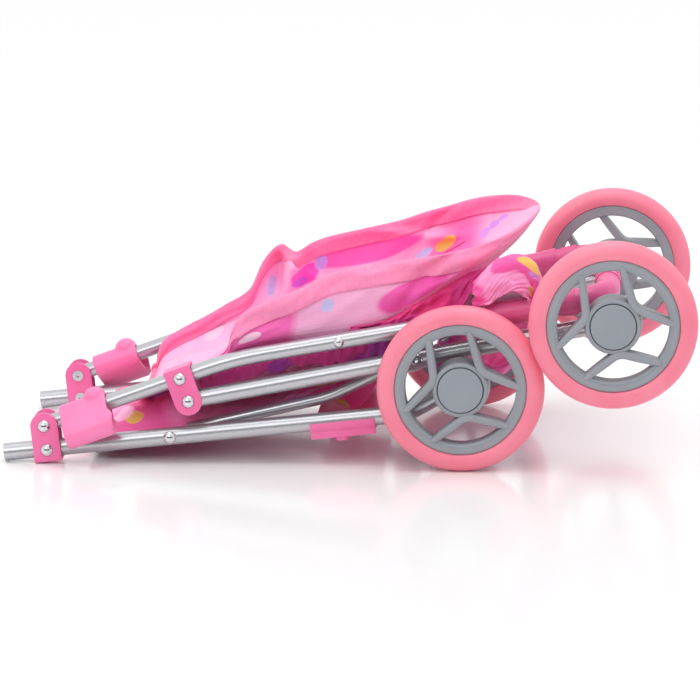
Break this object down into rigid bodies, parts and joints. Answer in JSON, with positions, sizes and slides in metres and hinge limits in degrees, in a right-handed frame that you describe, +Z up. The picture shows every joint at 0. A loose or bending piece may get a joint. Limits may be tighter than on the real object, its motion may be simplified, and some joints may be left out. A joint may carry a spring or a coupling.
{
  "type": "doll stroller",
  "caption": "Toy stroller folded flat: a tube frame with a linked fold, sliding lock sleeves, spoked foam-tyred wheels, a moulded grip and a sewn seat.",
  "frame": {"origin": "middle of the folded stroller's footprint, on the floor that it lies on", "axes": "+X from the open leg ends towards the handle grip, +Y from the stroller's left side to its right side, +Z up"},
  "size_m": [0.5428, 0.2954, 0.1847],
  "materials": {
    "tube_silver": "satin silver lacquer on steel tube",
    "bracket_pink": "satin moulded pink",
    "plastic_pink": "satin moulded pink",
    "rivet_chrome": "polished domed rivet",
    "axle_steel": "plain steel",
    "spacer_grey": "matt moulded grey",
    "tyre_pink": "smooth soft foam tyre",
    "rim_grey": "satin moulded grey",
    "cap_grey": "satin moulded grey",
    "cloth_pink": null
  },
  "bodies": {
    "front_frame": {"front_leg_left": "tube_silver", "front_leg_right": "tube_silver", "fold_bracket_left": "bracket_pink", "fold_bracket_right": "bracket_pink", "fold_bracket_rivets": "rivet_chrome", "fold_pivot_rivets": "rivet_chrome", "seat_front_rivets": "rivet_chrome", "footrest": "plastic_pink", "front_axle": "axle_steel", "front_leg_fittings": "plastic_pink", "front_axle_spacers": "spacer_grey", "front_axle_nuts": "axle_steel"},
    "handle_frame": {"handle_tube_left": "tube_silver", "handle_tube_right": "tube_silver", "handle_grip": "plastic_pink", "leg_bracket_left": "bracket_pink", "leg_bracket_right": "bracket_pink", "leg_bracket_rivets": "rivet_chrome", "leg_pivot_rivets": "rivet_chrome", "fabric_rivets": "rivet_chrome", "seat_shell": "cloth_pink"},
    "rear_frame": {"rear_leg_left": "tube_silver", "rear_leg_right": "tube_silver", "seat_rear_rivets": "rivet_chrome", "seat_rear_spacers": "spacer_grey", "rear_axle": "axle_steel", "rear_leg_fittings": "plastic_pink", "rear_axle_spacers": "spacer_grey", "rear_axle_nuts": "axle_steel", "basket": "cloth_pink"},
    "seat_frame": {"seat_rail_left": "tube_silver", "seat_rail_right": "tube_silver", "seat_front_bar": "tube_silver", "seat_sling": "cloth_pink"},
    "sleeve_left": {"lock_sleeve_left": "bracket_pink"},
    "sleeve_right": {"lock_sleeve_right": "bracket_pink"},
    "wheel_front_left": {"tyre_front_left": "tyre_pink", "rim_front_left": "rim_grey", "hub_cap_front_left": "cap_grey"},
    "wheel_front_right": {"tyre_front_right": "tyre_pink", "rim_front_right": "rim_grey", "hub_cap_front_right": "cap_grey"},
    "wheel_rear_left": {"tyre_rear_left": "tyre_pink", "rim_rear_left": "rim_grey", "hub_cap_rear_left": "cap_grey"},
    "wheel_rear_right": {"tyre_rear_right": "tyre_pink", "rim_rear_right": "rim_grey", "hub_cap_rear_right": "cap_grey"}
  },
  "joints": [
    {"name": "main_fold", "type": "hinge", "parent": "front_frame", "child": "handle_frame", "pos_m": [-0.23807, 0, 0.02981], "axis": [0, -1, 0], "range_deg": [0, 166.35]},
    {"name": "rear_leg_fold", "type": "hinge", "parent": "handle_frame", "child": "rear_frame", "pos_m": [-0.1243, 0, 0.05015], "axis": [0, -1, 0], "range_deg": [-120.3, 0]},
    {"name": "seat_fold", "type": "hinge", "parent": "rear_frame", "child": "seat_frame", "pos_m": [0.05399, 0, 0.08416], "axis": [0, -1, 0], "range_deg": [0, 60.2]},
    {"name": "lock_slide_left", "type": "slide", "parent": "handle_frame", "child": "sleeve_left", "axis": [0.9421, 0, 0.3355], "range_m": [0, 0.024]},
    {"name": "lock_slide_right", "type": "slide", "parent": "handle_frame", "child": "sleeve_right", "axis": [0.9421, 0, 0.3355], "range_m": [0, 0.024]},
    {"name": "spin_front_left", "type": "hinge", "parent": "front_frame", "child": "wheel_front_left", "pos_m": [0.08903, 0, 0.065], "axis": [0, -1, 0], "continuous": true},
    {"name": "spin_front_right", "type": "hinge", "parent": "front_frame", "child": "wheel_front_right", "pos_m": [0.08903, 0, 0.065], "axis": [0, -1, 0], "continuous": true},
    {"name": "spin_rear_left", "type": "hinge", "parent": "rear_frame", "child": "wheel_rear_left", "pos_m": [0.20644, 0, 0.11751], "axis": [0, -1, 0], "continuous": true},
    {"name": "spin_rear_right", "type": "hinge", "parent": "rear_frame", "child": "wheel_rear_right", "pos_m": [0.20644, 0, 0.11751], "axis": [0, -1, 0], "continuous": true}
  ],
  "couplings": [
    {"joint": "rear_leg_fold", "follows": "main_fold", "ratio": -0.72291},
    {"joint": "seat_fold", "follows": "main_fold", "ratio": 0.36182}
  ]
}
